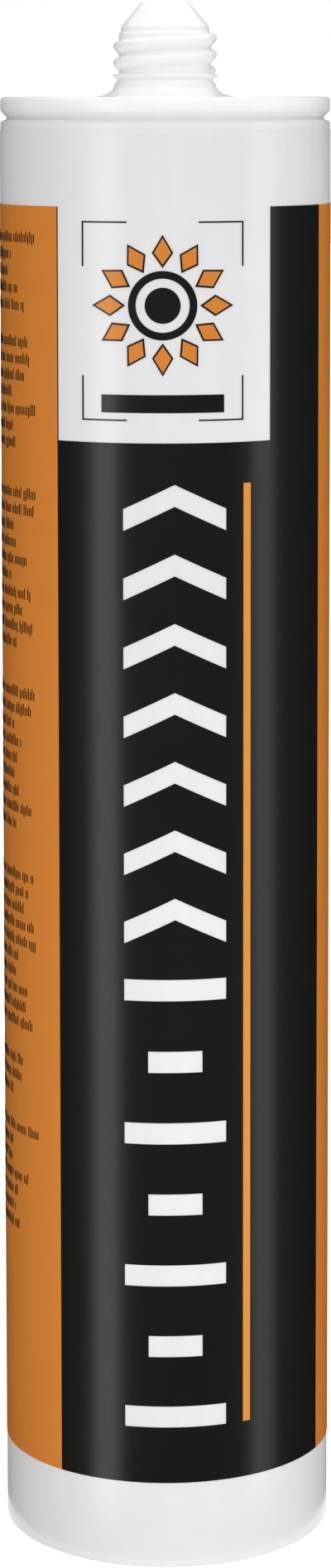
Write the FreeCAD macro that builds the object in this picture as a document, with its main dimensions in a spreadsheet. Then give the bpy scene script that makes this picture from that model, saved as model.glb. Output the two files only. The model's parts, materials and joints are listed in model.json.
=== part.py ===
"""A sealant cartridge: barrel, grooved head and threaded nose, with its piston and its print.

Millimetres, +Z up. The cartridge stands on its open rear end, the origin is the centre of that
end, and -Y is the front of the print. Angles round the barrel are in degrees from the front and
grow towards +X. The print is laid on as films of ink, so that each colour is a solid of its own.
"""
import FreeCAD, Part
import operator
import os
from types import SimpleNamespace

import Sketcher

# Driving sizes: name in the sheet, value in millimetres, degrees or copies
SIZES = [
    # barrel
    ("barrel_radius", "24.75"),
    ("barrel_wall", "1.55"),
    ("shoulder_height", "217.8"),
    ("edge_bevel", "0.25"),
    ("mouth_step", "0.35"),
    ("mouth_depth", "7.0"),
    ("mouth_taper", "1.0"),
    # head
    ("head_height", "5.0"),
    ("head_inset", "0.1"),
    ("lower_rim_height", "1.3"),
    ("groove_depth", "0.75"),
    ("groove_rise", "0.4"),
    ("groove_floor", "0.35"),
    ("head_thickness", "2.6"),
    ("slope_height", "1.8"),
    ("slope_width", "1.5"),
    # nose, its heights counted from the shoulder
    ("flare_radius", "11.1"),
    ("flare_height", "1.6"),
    ("collar_radius", "7.6"),
    ("collar_height", "0.5"),
    ("notch_depth", "0.2"),
    ("notch_height", "0.5"),
    ("bead_radius", "7.8"),
    ("bead_height", "0.8"),
    ("bead_fall", "0.6"),
    ("root_radius", "6.87"),
    ("root_top", "9.54"),
    ("neck_step", "0.3"),
    ("cone_start", "10.4"),
    ("nose_height", "14.2"),
    ("tip_radius", "3.43"),
    ("tip_wall", "1.2"),
    ("tip_bevel", "0.4"),
    # thread on the nose
    ("crest_radius", "7.74"),
    ("crest_width", "0.4"),
    ("thread_base_width", "1.3"),
    ("thread_pitch", "2.45"),
    ("thread_turns", "2.05"),
    ("thread_start", "3.8"),
    ("thread_bite", "0.2"),
    # piston
    ("piston_recess", "10.0"),
    ("piston_length", "20.0"),
    ("piston_clearance", "0.05"),
    ("piston_wall", "1.4"),
    ("lip_width", "1.6"),
    ("lip_relief", "0.45"),
    ("crown_inset", "0.35"),
    ("boss_radius", "4.5"),
    ("boss_proud", "1.0"),
    ("rib_setback", "13.0"),
    ("rib_shelf", "3.0"),
    ("rib_end_height", "1.6"),
    ("rib_thickness", "1.2"),
    ("rib_count", "8"),
    ("stroke_end_gap", "0.5"),
    # sealant
    ("sealant_gap", "0.05"),
    ("sealant_rear_gap", "0.3"),
    # print
    ("film_lift", "0.08"),
    ("film", "0.08"),
    ("print_bottom", "13.0"),
    ("print_top_drop", "15.8"),
    ("panel_height", "34.0"),
    ("panel_left_angle", "-39.5"),
    ("panel_right_angle", "37.9"),
    ("black_right_angle", "65.9"),
    ("rule_left_angle", "26.8"),
    ("rule_right_angle", "29.9"),
    ("column_top_drop", "6.0"),
    ("column_bottom_rise", "8.5"),
    ("column_gap", "5.3"),
    ("column_centre", "1.3"),
    ("mark_width", "15.0"),
    ("mark_stroke", "3.2"),
    ("chevron_rise", "3.6"),
    ("chevron_count", "7"),
    ("long_bar_count", "4"),
    ("short_bar_width", "8.0"),
    ("emblem_drop", "14.1"),
    ("emblem_centre", "-0.4"),
    ("emblem_radius", "10.2"),
    ("petal_belly_radius", "7.6"),
    ("petal_half_width", "1.55"),
    ("petal_count", "12"),
    ("petal_gap", "0.4"),
    ("hub_radius", "5.0"),
    ("name_bar_drop", "28.3"),
    ("name_bar_height", "2.6"),
    ("name_bar_left_angle", "-22.0"),
    ("name_bar_right_angle", "20.0"),
]

SIGNS = {"+": operator.add, "-": operator.sub, "*": operator.mul, "/": operator.truediv}
LEFT_TURN = 1
RIGHT_TURN = -1


class Length:
    """A number kept together with the formula of the sheet that gives it."""

    def __init__(self, value, formula):
        self.value = value
        self.formula = formula

    def __add__(self, other):
        return joined(self, "+", other)

    def __sub__(self, other):
        return joined(self, "-", other)

    def __mul__(self, other):
        return joined(self, "*", other)

    def __truediv__(self, other):
        return joined(self, "/", other)

    def __neg__(self):
        return joined(0, "-", self)


def as_length(number):
    """Give a plain number the same form as a size of the sheet."""
    if isinstance(number, Length):
        return number
    return Length(float(number), str(number))


def joined(first, sign, second):
    """Work out first sign second, both as a number and as a formula."""
    first = as_length(first)
    second = as_length(second)
    value = SIGNS[sign](first.value, second.value)
    return Length(value, f"({first.formula} {sign} {second.formula})")


def bow_radius(half_chord, rise):
    """Radius of the arc whose chord is two half_chord long and that rises by rise at its middle."""
    return (half_chord * half_chord + rise * rise) / (rise * 2)


def fill_sheet(doc):
    """Put the driving sizes in the document's sheet and return them by name."""
    sheet = doc.addObject("Spreadsheet::Sheet", "Sizes")
    sizes = SimpleNamespace()
    for row, (name, text) in enumerate(SIZES, start=1):
        sheet.set(f"A{row}", name)
        sheet.set(f"B{row}", text)
        sheet.setAlias(f"B{row}", name)
        setattr(sizes, name, Length(float(text), f"Sizes.{name}"))
    doc.recompute()
    return sizes


class Outline:
    """A closed outline in a vertical plane: corners joined by straight edges and by arcs."""

    def __init__(self, x, z):
        self.corners = [(as_length(x), as_length(z))]
        self.bows = {}

    def line(self, x, z):
        """Go straight to the next corner."""
        self.corners.append((as_length(x), as_length(z)))
        return self

    def arc(self, x, z, radius, turn):
        """Go to the next corner on an arc that turns left or right."""
        self.bows[len(self.corners) - 1] = (as_length(radius), turn)
        return self.line(x, z)

    def points(self):
        """The corners as points of the sketch's own plane."""
        return [FreeCAD.Vector(x.value, z.value, 0) for x, z in self.corners]


def rectangle(left, right, bottom, top):
    """Outline of an upright rectangle."""
    return Outline(left, bottom).line(right, bottom).line(right, top).line(left, top)


def arc_between(start, end, radius, turn):
    """Arc of the given radius from start to end, no more than half a circle."""
    chord = end - start
    side = FreeCAD.Vector(-chord.y, chord.x, 0).normalize() * turn
    reach = (radius ** 2 - (chord.Length / 2) ** 2) ** 0.5
    middle = start + chord * 0.5 - side * (radius - reach)
    return Part.Arc(start, middle, end)


def draw(body, name, *outlines, turn=None, place=None):
    """Sketch closed outlines on the body's XZ plane, every corner bound to the sheet.

    turn is an angle round the barrel from the front, and place moves the sketch's own origin.
    """
    sketch = body.newObject("Sketcher::SketchObject", name)
    upright = [plane for plane in body.Origin.OriginFeatures if plane.Role == "XZ_Plane"][0]
    sketch.AttachmentSupport = [(upright, "")]
    sketch.MapMode = "FlatFace"
    if turn is not None:
        # the plane's own right side is +X, which is 90 degrees round from the front
        sketch.AttachmentOffset = FreeCAD.Placement(
            FreeCAD.Vector(), FreeCAD.Rotation(FreeCAD.Vector(0, 1, 0), turn.value - 90))
        sketch.setExpression("AttachmentOffset.Rotation.Angle", (turn - 90).formula)
    if place is not None:
        sketch.setExpression("AttachmentOffset.Base.x", place[0].formula)
        sketch.setExpression("AttachmentOffset.Base.y", place[1].formula)
    for outline in outlines:
        draw_outline(sketch, outline)
    return sketch


def draw_outline(sketch, outline):
    """Add one closed outline to a sketch with its joints, places and radii as constraints."""
    points = outline.points()
    count = len(points)
    ends = []
    for index in range(count):
        start = points[index]
        end = points[(index + 1) % count]
        if index not in outline.bows:
            edge = sketch.addGeometry(Part.LineSegment(start, end), False)
            ends.append((edge, 1, 2))
            continue
        radius, turn = outline.bows[index]
        edge = sketch.addGeometry(arc_between(start, end, radius.value, turn), False)
        bind_constraint(sketch, radius, "Radius", edge)
        ends.append((edge, 1, 2) if turn == LEFT_TURN else (edge, 2, 1))
    for index in range(count):
        edge, first, last = ends[index]
        following = ends[(index + 1) % count]
        sketch.addConstraint(Sketcher.Constraint("Coincident", edge, last, following[0], following[1]))
        x, z = outline.corners[index]
        bind_distance(sketch, x, "DistanceX", edge, first, -2)
        bind_distance(sketch, z, "DistanceY", edge, first, -1)


def draw_circle(sketch, radius):
    """Add a circle about the sketch's own origin."""
    flat = Part.Circle(FreeCAD.Vector(), FreeCAD.Vector(0, 0, 1), radius.value)
    edge = sketch.addGeometry(flat, False)
    sketch.addConstraint(Sketcher.Constraint("Coincident", edge, 3, -1, 1))
    bind_constraint(sketch, radius, "Radius", edge)


def bind_distance(sketch, length, kind, edge, end, axis):
    """Hold a corner at its distance from the origin, or on the axis where that is nought."""
    if length.formula == "0":
        sketch.addConstraint(Sketcher.Constraint("PointOnObject", edge, end, axis))
    else:
        bind_constraint(sketch, length, kind, -1, 1, edge, end)


def bind_constraint(sketch, length, kind, *places):
    """Add a constraint with a size and bind the size to the sheet."""
    number = sketch.addConstraint(Sketcher.Constraint(kind, *places, length.value))
    sketch.setExpression(f"Constraints[{number}]", length.formula)


def new_body(doc, name):
    """Start a piece whose label is the name of its node."""
    body = doc.addObject("PartDesign::Body", name)
    body.Label = name
    body.Placement = FreeCAD.Placement()
    return body


def turned(body, kind, name, sketch, angle=None):
    """Turn a sketch round the barrel's axis, the whole way or by an angle."""
    feature = body.newObject(f"PartDesign::{kind}", name)
    feature.Profile = sketch
    feature.ReferenceAxis = (sketch, ["V_Axis"])
    feature.Angle = 360
    if angle is not None:
        feature.setExpression("Angle", angle.formula)
    return feature


def cut_forward(body, name, sketch):
    """Cut a sketch of the XZ plane through whatever lies in front of that plane."""
    feature = body.newObject("PartDesign::Pocket", name)
    feature.Profile = sketch
    feature.Type = "ThroughAll"
    feature.Reversed = True
    return feature


def repeated(body, kind, name, feature, axis, copies, span):
    """Repeat a feature along or round an axis; span is a length or an angle."""
    pattern = body.newObject(f"PartDesign::{kind}", name)
    pattern.Originals = [feature]
    if kind == "PolarPattern":
        pattern.Axis = axis
        pattern.Angle = span
    else:
        pattern.Direction = axis
        pattern.setExpression("Length", span.formula)
    pattern.setExpression("Occurrences", copies.formula)
    body.Tip = pattern
    return pattern


def bevelled_at(body, name, base, amount, places):
    """Bevel the circular edges of a feature that lie at the given radii and heights."""
    body.Document.recompute()
    edges = []
    for number, edge in enumerate(base.Shape.Edges, start=1):
        if not isinstance(edge.Curve, Part.Circle):
            continue
        for ring, height in places:
            near = abs(edge.Curve.Radius - ring.value) < 1e-6
            if near and abs(edge.Curve.Center.z - height.value) < 1e-6:
                edges.append(f"Edge{number}")
    if len(edges) != len(places):
        raise RuntimeError(f"{name}: {len(edges)} edges found for {len(places)} places")
    feature = body.newObject("PartDesign::Chamfer", name)
    feature.Base = (base, edges)
    feature.setExpression("Size", amount.formula)
    return feature


def make_cartridge(doc, size):
    """The moulding: barrel with its rear mouth, grooved head and closed, threaded nose."""
    body = new_body(doc, "cartridge")
    bore = size.barrel_radius - size.barrel_wall
    mouth = bore + size.mouth_step
    rim = size.barrel_radius - size.head_inset
    floor = rim - size.groove_depth
    shoulder = size.shoulder_height
    head_bottom = shoulder - size.head_height
    groove_bottom = head_bottom + size.lower_rim_height
    floor_bottom = groove_bottom + size.groove_rise
    floor_top = floor_bottom + size.groove_floor
    ceiling = shoulder - size.head_thickness

    flare_top = shoulder + size.flare_height
    notch_bottom = flare_top + size.collar_height
    bead_bottom = notch_bottom + size.notch_height
    bead_top = bead_bottom + size.bead_height
    neck_radius = size.root_radius - size.neck_step
    tip = shoulder + size.nose_height
    cone_bottom = shoulder + size.cone_start
    neck_bore = neck_radius - size.tip_wall
    flare_width = size.flare_radius - size.collar_radius

    section = Outline(mouth, 0)
    section.line(size.barrel_radius, 0)
    section.line(size.barrel_radius, head_bottom)
    section.line(rim, head_bottom + size.head_inset)
    section.line(rim, groove_bottom)
    section.line(floor, floor_bottom)
    section.line(floor, floor_top)
    section.line(rim, floor_top + size.groove_depth)
    section.line(rim, shoulder)
    section.line(size.flare_radius, shoulder)
    flare_bow = bow_radius(flare_width, size.flare_height)
    section.arc(size.collar_radius, flare_top, flare_bow, RIGHT_TURN)
    section.line(size.collar_radius, notch_bottom)
    section.line(size.collar_radius - size.notch_depth, notch_bottom + size.notch_height / 2)
    section.line(size.bead_radius, bead_bottom)
    section.line(size.bead_radius, bead_top)
    section.line(size.root_radius, bead_top + size.bead_fall)
    section.line(size.root_radius, shoulder + size.root_top)
    section.line(neck_radius, shoulder + size.root_top + size.neck_step)
    section.line(neck_radius, cone_bottom)
    section.line(size.tip_radius, tip)
    section.line(0, tip)
    section.line(0, tip - size.tip_wall)
    section.line(size.tip_radius - size.tip_wall, tip - size.tip_wall)
    section.line(neck_bore, cone_bottom - size.tip_wall)
    section.line(neck_bore, ceiling)
    section.line(bore - size.slope_width, ceiling)
    section.line(bore, ceiling - size.slope_height)
    section.line(bore, size.mouth_depth + size.mouth_taper)
    section.line(mouth, size.mouth_depth)
    moulding = turned(body, "Revolution", "moulding", draw(body, "moulding_section", section))

    edges = [(size.barrel_radius, as_length(0)), (rim, shoulder)]
    bevelled = bevelled_at(body, "bevelled_edges", moulding, size.edge_bevel, edges)
    bevelled_at(body, "bevelled_tip", bevelled, size.tip_bevel, [(size.tip_radius, tip)])

    # One start, right-handed, from inside the bead to just under the step of the neck
    middle = shoulder + size.thread_start
    foot = size.root_radius - size.thread_bite
    half_crest = size.crest_width / 2
    half_base = size.thread_base_width / 2
    tooth = Outline(foot, middle - half_base)
    tooth.line(size.crest_radius, middle - half_crest)
    tooth.line(size.crest_radius, middle + half_crest)
    tooth.line(foot, middle + half_base)
    tooth_sketch = draw(body, "thread_tooth", tooth)
    thread = body.newObject("PartDesign::AdditiveHelix", "thread")
    thread.Profile = tooth_sketch
    thread.ReferenceAxis = (tooth_sketch, ["V_Axis"])
    thread.Mode = "pitch-turns-angle"
    thread.setExpression("Pitch", size.thread_pitch.formula)
    thread.setExpression("Turns", size.thread_turns.formula)
    return body


def make_piston(doc, size):
    """The follower: two sealing lips, a crown that fits the head, and a ribbed open back."""
    body = new_body(doc, "piston")
    bore = size.barrel_radius - size.barrel_wall
    lip = bore - size.piston_clearance
    waist = lip - size.lip_relief
    inside = waist - size.piston_wall
    rear = size.piston_recess
    front = rear + size.piston_length
    crown_bottom = front - size.slope_height
    crown_radius = bore - size.slope_width - size.crown_inset
    under_crown = front - size.piston_wall
    rib_end = rear + size.rib_setback
    boss_end = rib_end - size.boss_proud

    section = Outline(inside, rear)
    section.line(lip, rear)
    section.line(lip, rear + size.lip_width)
    section.line(waist, rear + size.lip_width + size.lip_relief)
    section.line(waist, crown_bottom - size.lip_width - size.lip_relief)
    section.line(lip, crown_bottom - size.lip_width)
    section.line(lip, crown_bottom)
    section.line(crown_radius, front)
    section.line(0, front)
    section.line(0, boss_end)
    section.line(size.boss_radius, boss_end)
    section.line(size.boss_radius, under_crown)
    section.line(inside, under_crown)
    turned(body, "Revolution", "cup", draw(body, "cup_section", section))

    # Each rib reaches half a wall into boss, crown and skirt, so that it is one moulding with them
    bite = size.piston_wall / 2
    rib = Outline(size.boss_radius - bite, rib_end)
    rib.line(size.boss_radius + size.rib_shelf, rib_end)
    rib.line(inside + bite, under_crown - size.rib_end_height)
    rib.line(inside + bite, under_crown)
    rib.line(inside, under_crown + bite)
    rib.line(size.boss_radius - bite, under_crown + bite)
    rib_sketch = draw(body, "rib_outline", rib)
    plate = body.newObject("PartDesign::Pad", "rib")
    plate.Profile = rib_sketch
    plate.Midplane = True
    plate.setExpression("Length", size.rib_thickness.formula)
    repeated(body, "PolarPattern", "ribs", plate, (rib_sketch, ["V_Axis"]), size.rib_count, 360)
    return body


def make_sealant(doc, size):
    """The contents: they fill barrel, head and neck, and end on the piston's crown."""
    body = new_body(doc, "sealant")
    bore = size.barrel_radius - size.barrel_wall
    skin = bore - size.sealant_gap
    neck = size.root_radius - size.neck_step - size.tip_wall - size.sealant_gap
    ceiling = size.shoulder_height - size.head_thickness - size.sealant_gap
    front = size.piston_recess + size.piston_length + size.sealant_rear_gap
    top = size.shoulder_height + size.cone_start - size.tip_wall - size.sealant_gap

    section = Outline(0, front)
    section.line(bore - size.slope_width - size.crown_inset, front)
    section.line(skin, front - size.slope_height)
    section.line(skin, ceiling - size.slope_height)
    section.line(skin - size.slope_width, ceiling)
    section.line(neck, ceiling)
    section.line(neck, top)
    section.line(0, top)
    turned(body, "Revolution", "filling", draw(body, "filling_section", section))
    return body


def film_radii(size):
    """Inner and outer radius of the ink, which lies a hair off the barrel."""
    inner = size.barrel_radius + size.film_lift
    return inner, inner + size.film


def print_levels(size):
    """Heights that the printed fields share."""
    top = size.shoulder_height - size.print_top_drop
    panel_bottom = top - size.panel_height
    return SimpleNamespace(
        top=top,
        panel_bottom=panel_bottom,
        column_top=panel_bottom - size.column_top_drop,
        column_bottom=size.print_bottom + size.column_bottom_rise,
        emblem=top - size.emblem_drop,
        name_bar=top - size.name_bar_drop,
    )


def make_field(doc, size, name, left, right, bottom, top):
    """A printed field between two angles and two heights, as a film on the barrel."""
    body = new_body(doc, name)
    inner, outer = film_radii(size)
    strip = rectangle(inner, outer, bottom, top)
    sketch = draw(body, f"{name}_strip", strip, turn=left)
    turned(body, "Revolution", f"{name}_film", sketch, right - left)
    return body


def clear_field(body, size, name, left, right, bottom, top):
    """Leave a film open between two angles and two heights."""
    inner, outer = film_radii(size)
    strip = rectangle(inner - size.film, outer + size.film, bottom, top)
    sketch = draw(body, f"{name}_strip", strip, turn=left)
    turned(body, "Groove", name, sketch, right - left)


def make_orange_field(doc, size):
    """The orange ink round the back and the left of the barrel."""
    levels = print_levels(size)
    whole_turn_left = size.panel_left_angle + 360
    return make_field(doc, size, "orange_field", size.black_right_angle, whole_turn_left,
                      size.print_bottom, levels.top)


def make_orange_rule(doc, size):
    """The orange line beside the column of marks."""
    levels = print_levels(size)
    return make_field(doc, size, "orange_rule", size.rule_left_angle, size.rule_right_angle,
                      levels.column_bottom, levels.column_top)


def make_black_panel(doc, size):
    """The black ink, with the white panel, the orange line and the marks left open in it."""
    levels = print_levels(size)
    body = make_field(doc, size, "black_panel", size.panel_left_angle, size.black_right_angle,
                      size.print_bottom, levels.top)
    clear_field(body, size, "white_panel", size.panel_left_angle - 1, size.panel_right_angle,
                levels.panel_bottom, levels.top + 1)
    clear_field(body, size, "rule_gap", size.rule_left_angle, size.rule_right_angle,
                levels.column_bottom, levels.column_top)

    # The upper half of the column is chevrons, the lower half a ladder of long and short bars
    half_column = (levels.column_top - levels.column_bottom - size.column_gap) / 2
    centre = size.column_centre
    left = centre - size.mark_width / 2
    right = centre + size.mark_width / 2
    foot = levels.column_top - half_column
    chevron = Outline(left, foot)
    chevron.line(centre, foot + size.chevron_rise)
    chevron.line(right, foot)
    chevron.line(right, foot + size.mark_stroke)
    chevron.line(centre, foot + size.mark_stroke + size.chevron_rise)
    chevron.line(left, foot + size.mark_stroke)
    chevron_sketch = draw(body, "chevron_outline", chevron)
    first_chevron = cut_forward(body, "chevron", chevron_sketch)
    repeated(body, "LinearPattern", "chevrons", first_chevron, (chevron_sketch, ["V_Axis"]),
             size.chevron_count, half_column - size.mark_stroke - size.chevron_rise)

    ladder_bottom = levels.column_bottom
    long_bar = rectangle(left, right, ladder_bottom, ladder_bottom + size.mark_stroke)
    long_sketch = draw(body, "long_bar_outline", long_bar)
    first_long = cut_forward(body, "long_bar", long_sketch)
    ladder = half_column - size.mark_stroke
    repeated(body, "LinearPattern", "long_bars", first_long, (long_sketch, ["V_Axis"]),
             size.long_bar_count, ladder)

    step = ladder / (size.long_bar_count - 1)
    short_bottom = ladder_bottom + step / 2
    short_bar = rectangle(centre - size.short_bar_width / 2, centre + size.short_bar_width / 2,
                          short_bottom, short_bottom + size.mark_stroke)
    short_sketch = draw(body, "short_bar_outline", short_bar)
    first_short = cut_forward(body, "short_bar", short_sketch)
    repeated(body, "LinearPattern", "short_bars", first_short, (short_sketch, ["V_Axis"]),
             size.long_bar_count - 1, ladder - step)
    return body


def wrap_on_barrel(body, size, sketch, bottom, top):
    """Cut a block that stands forward of the XZ plane down to a film on the barrel."""
    inner, outer = film_radii(size)
    under = rectangle(0, inner, bottom, top)
    over = rectangle(outer, outer * 2, bottom, top)
    rest = draw(body, f"{body.Name}_rest", under, over)
    turned(body, "Groove", f"{body.Name}_film", rest)


def forward_block(body, size, name, sketch):
    """Raise a sketch of the XZ plane to the front, past the barrel's surface."""
    block = body.newObject("PartDesign::Pad", name)
    block.Profile = sketch
    block.setExpression("Length", (film_radii(size)[1] + size.film).formula)
    return block


def make_emblem_petals(doc, size):
    """The orange petals of the emblem in the white panel."""
    levels = print_levels(size)
    body = new_body(doc, "emblem_petals")
    body.AllowCompound = True
    petal = Outline(0, size.hub_radius + size.petal_gap)
    petal.line(size.petal_half_width, size.petal_belly_radius)
    petal.line(0, size.emblem_radius)
    petal.line(-size.petal_half_width, size.petal_belly_radius)
    sketch = draw(body, "petal_outline", petal, place=(size.emblem_centre, levels.emblem))
    block = forward_block(body, size, "petal", sketch)
    repeated(body, "PolarPattern", "petals", block, (sketch, ["N_Axis"]), size.petal_count, 360)
    wrap_on_barrel(body, size, sketch, levels.emblem - size.emblem_radius * 2,
                   levels.emblem + size.emblem_radius * 2)
    return body


def make_emblem_hub(doc, size):
    """The black disc in the middle of the emblem."""
    levels = print_levels(size)
    body = new_body(doc, "emblem_hub")
    sketch = draw(body, "hub_outline", place=(size.emblem_centre, levels.emblem))
    draw_circle(sketch, size.hub_radius)
    forward_block(body, size, "hub", sketch)
    wrap_on_barrel(body, size, sketch, levels.emblem - size.emblem_radius * 2,
                   levels.emblem + size.emblem_radius * 2)
    return body


def make_name_bar(doc, size):
    """The plain bar under the emblem."""
    levels = print_levels(size)
    return make_field(doc, size, "name_bar", size.name_bar_left_angle, size.name_bar_right_angle,
                      levels.name_bar - size.name_bar_height / 2,
                      levels.name_bar + size.name_bar_height / 2)


def check(doc, bodies):
    """Stop if anything failed, if a cut took nothing away, or if a shape isn't sound."""
    for item in doc.Objects:
        if "Invalid" in item.State or "Error" in item.State:
            raise RuntimeError(f"{item.Name} is {item.State}")
    for body in bodies:
        volume = 0.0
        for feature in body.Group:
            if not hasattr(feature, "AddSubShape") and "Pattern" not in feature.TypeId:
                continue
            cuts = feature.TypeId in ("PartDesign::Groove", "PartDesign::Pocket")
            if cuts and feature.Shape.Volume >= volume:
                raise RuntimeError(f"{feature.Name} cuts nothing")
            volume = feature.Shape.Volume
        if body.Shape.isNull() or not body.Shape.isValid():
            raise RuntimeError(f"{body.Label} isn't a sound shape")


def main():
    doc = FreeCAD.newDocument("SealantCartridge")
    size = fill_sheet(doc)
    makers = [make_cartridge, make_piston, make_sealant, make_orange_field, make_black_panel,
              make_orange_rule, make_emblem_petals, make_emblem_hub, make_name_bar]
    bodies = [maker(doc, size) for maker in makers]
    doc.recompute()
    check(doc, bodies)
    os.makedirs("parts", exist_ok=True)
    for body in bodies:
        body.Shape.exportStep(f"parts/{body.Label}.step")
        solids = len(body.Shape.Solids)
        print(f"{body.Label}: {solids} solids, {body.Shape.Volume:.1f} cubic millimetres")
    ceiling = size.shoulder_height - size.head_thickness
    front = size.piston_recess + size.piston_length
    stroke = ceiling - size.stroke_end_gap - front
    print(f"piston stroke {stroke.value:.2f} mm")


main()
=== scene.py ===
import json
import math

import bpy
import numpy as np
from bpy.props import FloatProperty, FloatVectorProperty, IntProperty, PointerProperty
from mathutils import Matrix, Vector


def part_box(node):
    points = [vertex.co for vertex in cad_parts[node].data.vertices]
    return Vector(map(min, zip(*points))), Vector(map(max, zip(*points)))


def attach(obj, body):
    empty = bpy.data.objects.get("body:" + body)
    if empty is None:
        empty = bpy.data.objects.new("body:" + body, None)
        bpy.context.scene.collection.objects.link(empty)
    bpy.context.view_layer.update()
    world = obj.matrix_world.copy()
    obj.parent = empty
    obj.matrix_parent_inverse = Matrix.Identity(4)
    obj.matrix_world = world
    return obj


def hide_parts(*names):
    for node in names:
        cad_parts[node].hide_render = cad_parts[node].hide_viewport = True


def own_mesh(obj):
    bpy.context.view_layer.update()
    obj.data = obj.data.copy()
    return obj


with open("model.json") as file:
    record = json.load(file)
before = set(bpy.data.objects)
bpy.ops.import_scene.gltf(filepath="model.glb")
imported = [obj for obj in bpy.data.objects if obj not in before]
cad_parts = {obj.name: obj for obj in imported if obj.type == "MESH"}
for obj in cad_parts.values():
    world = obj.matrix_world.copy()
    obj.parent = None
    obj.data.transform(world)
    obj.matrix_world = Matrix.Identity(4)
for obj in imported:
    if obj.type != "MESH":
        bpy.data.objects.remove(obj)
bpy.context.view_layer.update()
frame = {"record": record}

bl_info = {
    "name": "Sealant Cartridge",
    "version": (1, 0, 0),
    "blender": (4, 5, 0),
    "location": "3D View > Sidebar > Cartridge",
    "description": "Builds a printed sealant cartridge with its thread, piston and contents",
    "category": "Object",
}

MM = 0.001

# Grids that the surfaces are worked out on, and the angle from which an edge shows sharp
RING_COLUMNS = 192
COLUMN_STEP = math.radians(1.5)
FLARE_ROWS = 16
PETAL_CELLS = 6
HUB_COLUMNS = 72
DOT_CELLS = 12
CARD_COLUMNS = 48
FLOOR_COLUMNS = 96
SHARP_ANGLE = math.radians(32)

# Rounding: steps on a curve, the share of an edge that it may take, and how many reaches from the
# corner the point lies that keeps the straight run flat
ROUND_STEPS = 4
ROUND_SHARE = 0.4
ROUND_HOLD = 1.2

# Thread rows stop this many small roundings under the root's top, and this share of the bead's
# slope above the bead
ZONE_INSET = 1.5
ZONE_FOOT = 0.2

# A hair's breadth for comparisons, small gaps and lifts, and where the corner brackets end
HAIR = 1e-5
SEALANT_GAP = 0.05 * MM
OVERPRINT = 0.03 * MM
BRACKET_DROP = 2.0 * MM
BRACKET_FOOT = 1.2 * MM

# Small print: ticks in a word, how uneven the rows end, and the ticks that stand taller or lower,
# with their height or drop as a share of the row's height
SMALL_PRINT_SEED = 7
SHORTEST_WORD = 4
LONGEST_WORD = 13
RAGGED_EDGE = 9 * MM
TALL_SHARE = 0.3
TALL_HEIGHT = 1.35
LOW_SHARE = 0.15
LOW_DROP = 0.3

# Baselines of the first and the last row of each paragraph of small print
PARAGRAPHS = [(0.1966, 0.1866), (0.1812, 0.1662), (0.1588, 0.1363), (0.1289, 0.1089),
              (0.1013, 0.0788), (0.0730, 0.0680), (0.0625, 0.0475)]

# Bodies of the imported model
SHELL_BODY = "cartridge_body"
PISTON_BODY = "piston_body"

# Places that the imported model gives
MOUNTS = {mount["name"]: mount for mount in frame["record"]["mounts"]}
BARREL, SHOULDER, MOUTH = MOUNTS["barrel"], MOUNTS["shoulder"], MOUNTS["plunger_mouth"]
CARTRIDGE_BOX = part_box("cartridge")
PISTON_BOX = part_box("piston")
SEALANT_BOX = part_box("sealant")
FIELD_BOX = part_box("orange_field")
RULE_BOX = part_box("orange_rule")
EMBLEM_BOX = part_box("emblem_petals")
NAME_BAR_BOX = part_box("name_bar")


def length(name, millimetres, description):
    """A size of the object, given in millimetres and kept in metres."""
    return FloatProperty(name=name, description=description, default=millimetres * MM, min=0.0,
                         precision=5, subtype="DISTANCE", unit="LENGTH")


def place(name, metres, description):
    """A place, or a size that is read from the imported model, in metres."""
    return FloatProperty(name=name, description=description, default=metres,
                         precision=5, subtype="DISTANCE", unit="LENGTH")


def bearing(name, degrees, description):
    """An angle round the barrel from its front, growing towards +X, given in degrees."""
    return FloatProperty(name=name, description=description, default=math.radians(degrees),
                         subtype="ANGLE", unit="ROTATION")


def share(name, value, description):
    """A plain number, such as a roughness or a strength of light."""
    return FloatProperty(name=name, description=description, default=value, min=0.0)


def linear_colour(code):
    """Turn an sRGB hex code into linear red, green, blue and alpha.

    Each channel c becomes c / 12.92 where it is at most 0.04045, else ((c + 0.055) / 1.055) ^ 2.4.
    """
    channels = np.array([int(code[start:start + 2], 16) for start in (1, 3, 5)]) / 255
    bright = ((channels + 0.055) / 1.055) ** 2.4
    return (*np.where(channels <= 0.04045, channels / 12.92, bright).tolist(), 1.0)


def colour(name, code, description):
    """A colour of the object, given as an sRGB hex code."""
    return FloatVectorProperty(name=name, description=description, default=linear_colour(code),
                               size=4, min=0.0, max=1.0, subtype="COLOR")


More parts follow.
